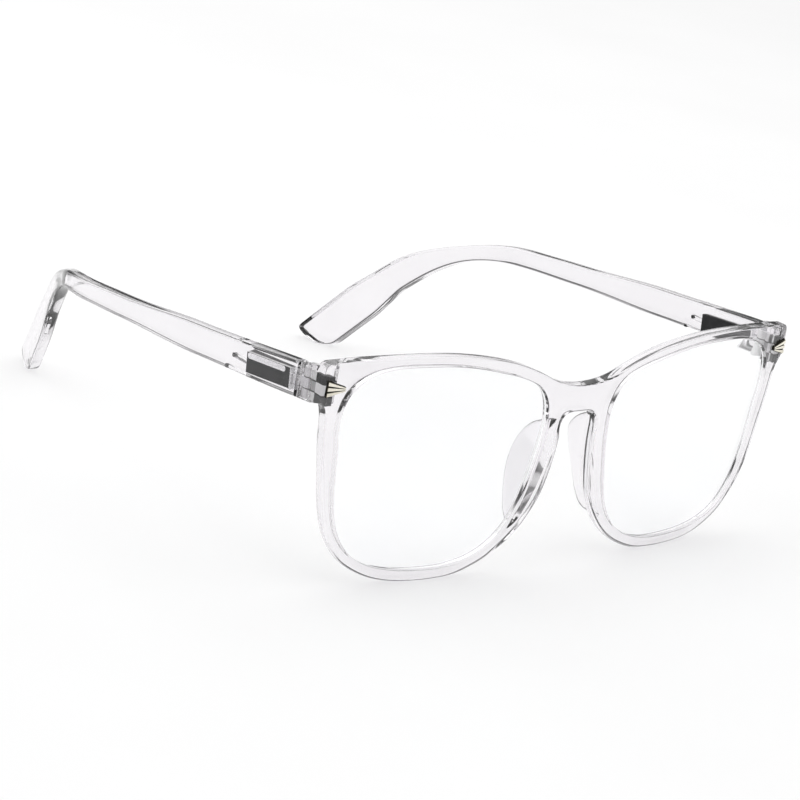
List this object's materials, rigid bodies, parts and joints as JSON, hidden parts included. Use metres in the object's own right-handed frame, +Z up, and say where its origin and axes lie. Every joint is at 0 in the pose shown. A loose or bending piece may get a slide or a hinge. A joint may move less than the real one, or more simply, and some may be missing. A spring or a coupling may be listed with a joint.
{
  "type": "eyeglasses",
  "caption": "Clear square-rimmed blue-light glasses with sprung folding temples, moulded nose pads and brass-coloured corner trims.",
  "frame": {"origin": "bottom centre of the open glasses' box, on the surface that the rims and temple tips rest on", "axes": "+Z up, +Y from the front back along the temples, +X towards the wearer's left"},
  "size_m": [0.1438, 0.154, 0.0529],
  "materials": {
    "clear_plastic": "clear glossy moulding",
    "lens": "coated plastic lens",
    "accent_metal": "polished pale brass",
    "hinge_metal": "satin nickel",
    "screw_metal": "turned steel",
    "spring_steel": "drawn wire",
    "bush_brass": "turned brass",
    "case_metal": "dark gunmetal"
  },
  "bodies": {
    "front": {"front_frame": "clear_plastic", "left_lens": "lens", "right_lens": "lens", "left_accent": "accent_metal", "right_accent": "accent_metal", "left_front_hinge": "hinge_metal", "right_front_hinge": "hinge_metal", "left_hinge_screw": "screw_metal", "right_hinge_screw": "screw_metal"},
    "left_slider": {"left_hinge_slider": "hinge_metal", "left_spring_collar": "screw_metal", "left_flex_spring": "spring_steel"},
    "left_temple": {"left_temple": "clear_plastic", "left_spring_case": "case_metal", "left_guide_bush": "bush_brass"},
    "right_slider": {"right_hinge_slider": "hinge_metal", "right_spring_collar": "screw_metal", "right_flex_spring": "spring_steel"},
    "right_temple": {"right_temple": "clear_plastic", "right_spring_case": "case_metal", "right_guide_bush": "bush_brass"}
  },
  "joints": [
    {"name": "left_temple_fold", "type": "hinge", "parent": "front", "child": "left_slider", "pos_m": [0.067, -0.06368, 0.0454], "axis": [0, 0, 1], "range_deg": [-10, 82]},
    {"name": "left_temple_slide", "type": "slide", "parent": "left_slider", "child": "left_temple", "axis": [0, 0.9954, -0.0958], "range_m": [0, 0.0012], "stiffness_N_per_m": 400, "deforming": ["left_flex_spring"]},
    {"name": "right_temple_fold", "type": "hinge", "parent": "front", "child": "right_slider", "pos_m": [-0.067, -0.06368, 0.0454], "axis": [0, 0, -1], "range_deg": [-10, 70]},
    {"name": "right_temple_slide", "type": "slide", "parent": "right_slider", "child": "right_temple", "axis": [0, 0.9954, -0.0958], "range_m": [0, 0.0012], "stiffness_N_per_m": 400, "deforming": ["right_flex_spring"]}
  ]
}
